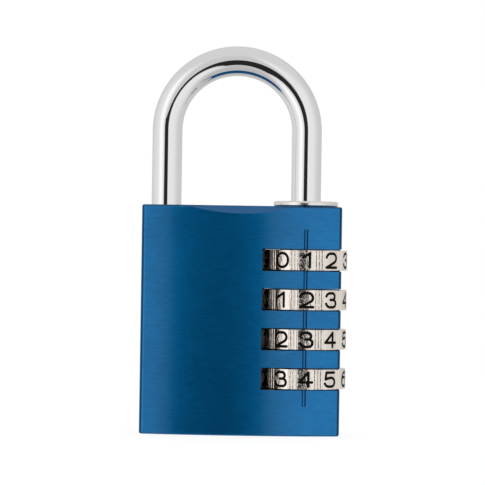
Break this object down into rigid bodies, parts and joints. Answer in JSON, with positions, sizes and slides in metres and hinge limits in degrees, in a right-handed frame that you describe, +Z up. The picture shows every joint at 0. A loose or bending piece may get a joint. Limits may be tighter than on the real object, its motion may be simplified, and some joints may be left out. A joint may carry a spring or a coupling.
{
  "type": "combination padlock",
  "caption": "Combination padlock with an anodised metal block, number wheels at one side and a round steel shackle that lifts.",
  "frame": {"origin": "middle of the block's flat underside, on its mid-plane", "axes": "+Z up along the shackle's legs, -Y out of the index face that shows the code, +X towards the wheels and the shackle's long leg"},
  "size_m": [0.0413, 0.0168, 0.0779],
  "materials": {
    "blue_anodised": "brushed, blue anodised",
    "chromed_steel": "polished chrome",
    "satin_nickel": "satin nickel",
    "wheel_nickel": "bright nickel",
    "brass": "turned",
    "spring_steel": "plain",
    "black_enamel": "paint in the engraved digits"
  },
  "bodies": {
    "housing": {"body_housing": "blue_anodised", "heel_collar": "satin_nickel", "collar_pin": "spring_steel", "hub_return_spring": "spring_steel", "detent_spring_1": "spring_steel", "detent_spring_2": "spring_steel", "detent_spring_3": "spring_steel", "detent_spring_4": "spring_steel"},
    "shackle": {"shackle": "chromed_steel"},
    "wheel_1": {"number_wheel_1": "wheel_nickel"},
    "wheel_2": {"number_wheel_2": "wheel_nickel"},
    "wheel_3": {"number_wheel_3": "wheel_nickel"},
    "wheel_4": {"number_wheel_4": "wheel_nickel"},
    "hub_1": {"wheel_hub_1": "brass"},
    "hub_2": {"wheel_hub_2": "brass"},
    "hub_3": {"wheel_hub_3": "brass"},
    "hub_4": {"wheel_hub_4": "brass"},
    "reset_stack": {"spacer_ring_1": "spring_steel", "spacer_ring_2": "spring_steel", "spacer_ring_3": "spring_steel", "thrust_washer": "spring_steel"}
  },
  "joints": [
    {"name": "shackle_lift", "type": "slide", "parent": "housing", "child": "shackle", "axis": [0, 0, 1], "range_m": [0, 0.007]},
    {"name": "wheel_1_turn", "type": "hinge", "parent": "housing", "child": "wheel_1", "pos_m": [0.0128, 0, 0.0351], "axis": [0, 0, 1], "continuous": true},
    {"name": "wheel_2_turn", "type": "hinge", "parent": "housing", "child": "wheel_2", "pos_m": [0.0128, 0, 0.0272], "axis": [0, 0, 1], "continuous": true},
    {"name": "wheel_3_turn", "type": "hinge", "parent": "housing", "child": "wheel_3", "pos_m": [0.0128, 0, 0.0193], "axis": [0, 0, 1], "continuous": true},
    {"name": "wheel_4_turn", "type": "hinge", "parent": "housing", "child": "wheel_4", "pos_m": [0.0128, 0, 0.0114], "axis": [0, 0, 1], "continuous": true},
    {"name": "reset_press", "type": "slide", "parent": "housing", "child": "reset_stack", "axis": [0, 0, -1], "range_m": [0, 0.0018], "stiffness_N_per_m": 700, "springref_m": -0.002, "deforming": ["hub_return_spring"]},
    {"name": "hub_1_slide", "type": "slide", "parent": "wheel_1", "child": "hub_1", "axis": [0, 0, -1], "range_m": [0, 0.0018]},
    {"name": "hub_2_slide", "type": "slide", "parent": "wheel_2", "child": "hub_2", "axis": [0, 0, -1], "range_m": [0, 0.0018]},
    {"name": "hub_3_slide", "type": "slide", "parent": "wheel_3", "child": "hub_3", "axis": [0, 0, -1], "range_m": [0, 0.0018]},
    {"name": "hub_4_slide", "type": "slide", "parent": "wheel_4", "child": "hub_4", "axis": [0, 0, -1], "range_m": [0, 0.0018]}
  ],
  "couplings": [
    {"joint": "hub_1_slide", "follows": "reset_press", "ratio": 1},
    {"joint": "hub_2_slide", "follows": "reset_press", "ratio": 1},
    {"joint": "hub_3_slide", "follows": "reset_press", "ratio": 1},
    {"joint": "hub_4_slide", "follows": "reset_press", "ratio": 1}
  ]
}
